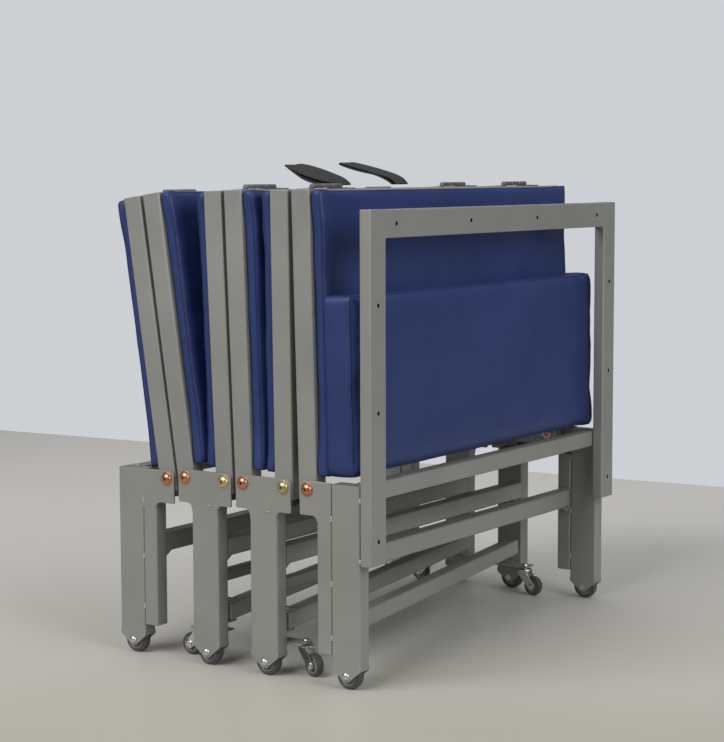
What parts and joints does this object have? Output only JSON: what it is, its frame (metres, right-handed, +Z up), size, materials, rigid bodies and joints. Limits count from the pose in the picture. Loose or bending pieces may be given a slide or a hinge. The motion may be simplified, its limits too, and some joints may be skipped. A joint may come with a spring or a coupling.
{
  "type": "rollaway bed",
  "caption": "Folded rollaway bed: hinged mattress panels standing on end between wheeled steel leg units, with a headboard frame and carry straps.",
  "frame": {"origin": "on the floor under the middle of the folded bed's bounding box", "axes": "+X towards the head end and the headboard frame, +Y across the bed, +Z up; the bed is folded"},
  "size_m": [0.3547, 0.569, 0.5642],
  "materials": {
    "frame_coat": "satin powder coat",
    "vinyl": "satin vinyl",
    "copper_bolts": "plated",
    "brass_bolts": "plated",
    "bright_metal": "bright plated",
    "wheel_rubber": "satin",
    "webbing": "woven"
  },
  "bodies": {
    "head_unit": {"head_leg_frame": "frame_coat", "headboard_frame": "frame_coat", "pivot_bolt_6_near": "copper_bolts", "pivot_bolt_6_far": "copper_bolts", "wheel_bolt_d_near": "bright_metal", "wheel_bolt_d_far": "bright_metal"},
    "middle_unit_c": {"middle_leg_frame_c": "frame_coat", "pivot_bolt_5_near": "brass_bolts", "pivot_bolt_5_far": "brass_bolts", "pivot_bolt_4_near": "copper_bolts", "pivot_bolt_4_far": "copper_bolts", "wheel_bolt_c_near": "bright_metal", "wheel_bolt_c_far": "bright_metal"},
    "middle_unit_b": {"middle_leg_frame_b": "frame_coat", "pivot_bolt_3_near": "brass_bolts", "pivot_bolt_3_far": "brass_bolts", "pivot_bolt_2_near": "copper_bolts", "pivot_bolt_2_far": "copper_bolts", "wheel_bolt_b_near": "bright_metal", "wheel_bolt_b_far": "bright_metal"},
    "foot_unit": {"foot_leg_frame": "frame_coat", "pivot_bolt_1_near": "copper_bolts", "pivot_bolt_1_far": "copper_bolts", "wheel_bolt_a_near": "bright_metal", "wheel_bolt_a_far": "bright_metal"},
    "panel_6": {"panel_frame_6": "frame_coat", "cushion_6": "vinyl", "pillow_block": "vinyl", "pull_strap_head": "webbing"},
    "panel_5": {"panel_frame_5": "frame_coat", "cushion_5": "vinyl"},
    "panel_4": {"panel_frame_4": "frame_coat", "cushion_4": "vinyl", "pull_strap_middle": "webbing"},
    "panel_3": {"panel_frame_3": "frame_coat", "cushion_3": "vinyl"},
    "panel_2": {"panel_frame_2": "frame_coat", "cushion_2": "vinyl"},
    "panel_1": {"panel_frame_1": "frame_coat", "cushion_1": "vinyl"},
    "stay_b": {"stay_bar_b": "frame_coat"},
    "stay_c": {"stay_bar_c": "frame_coat"},
    "stay_d": {"stay_bar_d": "frame_coat"},
    "wheel_a_near": {"leg_wheel_a_near": "wheel_rubber"},
    "wheel_a_far": {"leg_wheel_a_far": "wheel_rubber"},
    "wheel_b_near": {"leg_wheel_b_near": "wheel_rubber"},
    "wheel_b_far": {"leg_wheel_b_far": "wheel_rubber"},
    "wheel_c_near": {"leg_wheel_c_near": "wheel_rubber"},
    "wheel_c_far": {"leg_wheel_c_far": "wheel_rubber"},
    "wheel_d_near": {"leg_wheel_d_near": "wheel_rubber"},
    "wheel_d_far": {"leg_wheel_d_far": "wheel_rubber"},
    "caster_b_near": {"caster_fork_b_near": "bright_metal"},
    "caster_roller_b_near": {"caster_wheel_b_near": "wheel_rubber"},
    "caster_b_far": {"caster_fork_b_far": "bright_metal"},
    "caster_roller_b_far": {"caster_wheel_b_far": "wheel_rubber"},
    "caster_c_near": {"caster_fork_c_near": "bright_metal"},
    "caster_roller_c_near": {"caster_wheel_c_near": "wheel_rubber"},
    "caster_c_far": {"caster_fork_c_far": "bright_metal"},
    "caster_roller_c_far": {"caster_wheel_c_far": "wheel_rubber"}
  },
  "joints": [
    {"name": "fold_head_panel_6", "type": "hinge", "parent": "head_unit", "child": "panel_6", "pos_m": [0.09297, 0, 0.214], "axis": [0, -1, 0], "range_deg": [0, 88.25]},
    {"name": "leaf_hinge_head", "type": "hinge", "parent": "panel_6", "child": "panel_5", "pos_m": [0.06855, 0, 0.53869], "axis": [0, -1, 0], "range_deg": [-179.31, 0], "deforming": ["pull_strap_head"]},
    {"name": "fold_head_panel_5", "type": "hinge", "parent": "panel_5", "child": "middle_unit_c", "pos_m": [0.06061, 0, 0.21335], "axis": [0, -1, 0], "range_deg": [0, 91.06]},
    {"name": "fold_middle_panel_4", "type": "hinge", "parent": "middle_unit_c", "child": "panel_4", "pos_m": [0.00561, 0, 0.21335], "axis": [0, -1, 0], "range_deg": [0, 87.59]},
    {"name": "leaf_hinge_middle", "type": "hinge", "parent": "panel_4", "child": "panel_3", "pos_m": [-0.02278, 0, 0.53772], "axis": [0, -1, 0], "range_deg": [-180.24, 0], "deforming": ["pull_strap_middle"]},
    {"name": "fold_middle_panel_3", "type": "hinge", "parent": "panel_3", "child": "middle_unit_b", "pos_m": [-0.02147, 0, 0.21229], "axis": [0, -1, 0], "range_deg": [0, 92.65]},
    {"name": "fold_foot_panel_2", "type": "hinge", "parent": "middle_unit_b", "child": "panel_2", "pos_m": [-0.07647, 0, 0.21229], "axis": [0, -1, 0], "range_deg": [0, 81.7]},
    {"name": "leaf_hinge_foot", "type": "hinge", "parent": "panel_2", "child": "panel_1", "pos_m": [-0.13944, 0, 0.53175], "axis": [0, -1, 0], "range_deg": [-180.24, 0]},
    {"name": "fold_foot_panel_1", "type": "hinge", "parent": "panel_1", "child": "foot_unit", "pos_m": [-0.10327, 0, 0.20833], "axis": [0, -1, 0], "range_deg": [0, 98.54]},
    {"name": "stay_swing_b", "type": "hinge", "parent": "middle_unit_b", "child": "stay_b", "pos_m": [-0.03947, -0.251, 0.05975], "axis": [0, 0, -1], "range_deg": [0, 5.8]},
    {"name": "stay_swing_c", "type": "hinge", "parent": "middle_unit_c", "child": "stay_c", "pos_m": [0.04261, -0.251, 0.05975], "axis": [0, 0, -1], "range_deg": [0, 5.8]},
    {"name": "stay_swing_d", "type": "hinge", "parent": "head_unit", "child": "stay_d", "pos_m": [0.11547, -0.251, 0.05975], "axis": [0, 0, -1], "range_deg": [0, 8.26]},
    {"name": "leg_wheel_spin_a_near", "type": "hinge", "parent": "foot_unit", "child": "wheel_a_near", "pos_m": [-0.15707, -0.2705, 0.0155], "axis": [0, 1, 0], "continuous": true},
    {"name": "leg_wheel_spin_a_far", "type": "hinge", "parent": "foot_unit", "child": "wheel_a_far", "pos_m": [-0.15707, 0.2705, 0.0155], "axis": [0, 1, 0], "continuous": true},
    {"name": "leg_wheel_spin_b_near", "type": "hinge", "parent": "middle_unit_b", "child": "wheel_b_near", "pos_m": [-0.04897, -0.2705, 0.0155], "axis": [0, 1, 0], "continuous": true},
    {"name": "leg_wheel_spin_b_far", "type": "hinge", "parent": "middle_unit_b", "child": "wheel_b_far", "pos_m": [-0.04897, 0.2705, 0.0155], "axis": [0, 1, 0], "continuous": true},
    {"name": "leg_wheel_spin_c_near", "type": "hinge", "parent": "middle_unit_c", "child": "wheel_c_near", "pos_m": [0.03311, -0.2705, 0.0155], "axis": [0, 1, 0], "continuous": true},
    {"name": "leg_wheel_spin_c_far", "type": "hinge", "parent": "middle_unit_c", "child": "wheel_c_far", "pos_m": [0.03311, 0.2705, 0.0155], "axis": [0, 1, 0], "continuous": true},
    {"name": "leg_wheel_spin_d_near", "type": "hinge", "parent": "head_unit", "child": "wheel_d_near", "pos_m": [0.14277, -0.2705, 0.0155], "axis": [0, 1, 0], "continuous": true},
    {"name": "leg_wheel_spin_d_far", "type": "hinge", "parent": "head_unit", "child": "wheel_d_far", "pos_m": [0.14277, 0.2705, 0.0155], "axis": [0, 1, 0], "continuous": true},
    {"name": "caster_swivel_b_near", "type": "hinge", "parent": "middle_unit_b", "child": "caster_b_near", "pos_m": [-0.08197, -0.2455, 0.033], "axis": [0, 0, 1], "range_deg": [-180, 90]},
    {"name": "caster_spin_b_near", "type": "hinge", "parent": "caster_b_near", "child": "caster_roller_b_near", "pos_m": [-0.09597, -0.2455, 0.0128], "axis": [0, -1, 0], "continuous": true},
    {"name": "caster_swivel_b_far", "type": "hinge", "parent": "middle_unit_b", "child": "caster_b_far", "pos_m": [-0.08197, 0.2455, 0.033], "axis": [0, 0, 1], "range_deg": [-90, 180]},
    {"name": "caster_spin_b_far", "type": "hinge", "parent": "caster_b_far", "child": "caster_roller_b_far", "pos_m": [-0.09597, 0.2455, 0.0128], "axis": [0, -1, 0], "continuous": true},
    {"name": "caster_swivel_c_near", "type": "hinge", "parent": "middle_unit_c", "child": "caster_c_near", "pos_m": [0.06611, -0.2455, 0.033], "axis": [0, 0, 1], "range_deg": [-74, 196]},
    {"name": "caster_spin_c_near", "type": "hinge", "parent": "caster_c_near", "child": "caster_roller_c_near", "pos_m": [0.07956, -0.24936, 0.0128], "axis": [0.2756, 0.9613, 0], "continuous": true},
    {"name": "caster_swivel_c_far", "type": "hinge", "parent": "middle_unit_c", "child": "caster_c_far", "pos_m": [0.06611, 0.2455, 0.033], "axis": [0, 0, 1], "range_deg": [-172, 98]},
    {"name": "caster_spin_c_far", "type": "hinge", "parent": "caster_c_far", "child": "caster_roller_c_far", "pos_m": [0.07997, 0.24355, 0.0128], "axis": [0.1392, 0.9903, 0], "continuous": true}
  ],
  "couplings": [
    {"joint": "leaf_hinge_head", "follows": "fold_head_panel_6", "ratio": -2.0316},
    {"joint": "fold_head_panel_5", "follows": "fold_head_panel_6", "ratio": 1.0316},
    {"joint": "leaf_hinge_middle", "follows": "fold_middle_panel_4", "ratio": -2.0576},
    {"joint": "fold_middle_panel_3", "follows": "fold_middle_panel_4", "ratio": 1.0576},
    {"joint": "leaf_hinge_foot", "follows": "fold_foot_panel_2", "ratio": -2.2061},
    {"joint": "fold_foot_panel_1", "follows": "fold_foot_panel_2", "ratio": 1.2061}
  ]
}
